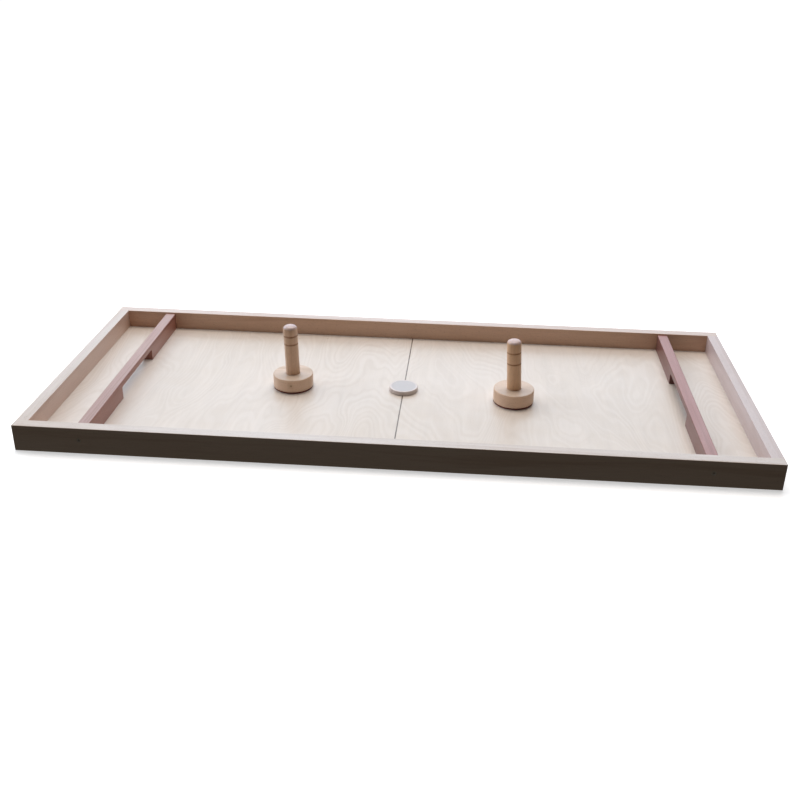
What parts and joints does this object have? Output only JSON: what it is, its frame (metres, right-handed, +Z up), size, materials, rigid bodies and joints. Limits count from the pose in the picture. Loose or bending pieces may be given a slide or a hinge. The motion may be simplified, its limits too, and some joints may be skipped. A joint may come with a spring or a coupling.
{
  "type": "table-top shove-hockey board",
  "caption": "Shallow wooden tray game with notched goal bars near its ends, turned hand mallets on felt and a flat puck on the centre line.",
  "frame": {"origin": "middle of the tray's underside, on the surface that it stands on", "axes": "+X along the tray from the left goal to the right goal, +Y across it from the front rail to the rear rail, +Z up"},
  "size_m": [1.2, 0.52, 0.129],
  "materials": {
    "birch_plywood": "pale rotary-cut birch face, light satin lacquer",
    "beech": "planed pale pinkish beech, light satin lacquer",
    "red_hardwood": "planed reddish hardwood, open straight grain, satin oil",
    "turned_beech": "turned and sanded, rings burnt dark, satin lacquer",
    "dark_felt": "dense pressed dark felt",
    "puck_white": "plain off-white, faintly satin, fine slide marks",
    "zinc_plated_steel": "zinc-plated wood screws",
    "beech_dowel": "unfinished glued peg"
  },
  "bodies": {
    "tray": {"playing_board": "birch_plywood", "front_rail": "beech", "rear_rail": "beech", "left_end_rail": "beech", "right_end_rail": "beech", "left_goal_bar": "red_hardwood", "left_goal_bar_screws": "zinc_plated_steel", "front_left_corner_dowels": "beech_dowel", "rear_left_corner_dowels": "beech_dowel", "right_goal_bar": "red_hardwood", "right_goal_bar_screws": "zinc_plated_steel", "front_right_corner_dowels": "beech_dowel", "rear_right_corner_dowels": "beech_dowel", "front_board_screws": "zinc_plated_steel", "rear_board_screws": "zinc_plated_steel", "left_board_screws": "zinc_plated_steel", "right_board_screws": "zinc_plated_steel"},
    "left_mallet": {"left_mallet_felt": "dark_felt", "left_mallet_base": "turned_beech", "left_mallet_handle": "turned_beech", "left_mallet_screw": "zinc_plated_steel"},
    "right_mallet": {"right_mallet_felt": "dark_felt", "right_mallet_base": "turned_beech", "right_mallet_handle": "turned_beech", "right_mallet_screw": "zinc_plated_steel"},
    "puck": {"puck": "puck_white"}
  },
  "joints": [
    {"name": "left_mallet_slide", "type": "slide", "parent": "tray", "child": "left_mallet", "axis": [1, 0, 0], "range_m": [-0.249, 0.136]},
    {"name": "right_mallet_slide", "type": "slide", "parent": "tray", "child": "right_mallet", "axis": [1, 0, 0], "range_m": [-0.133, 0.252]},
    {"name": "puck_slide", "type": "slide", "parent": "tray", "child": "puck", "axis": [0, 1, 0], "range_m": [-0.218, 0.21]}
  ]
}
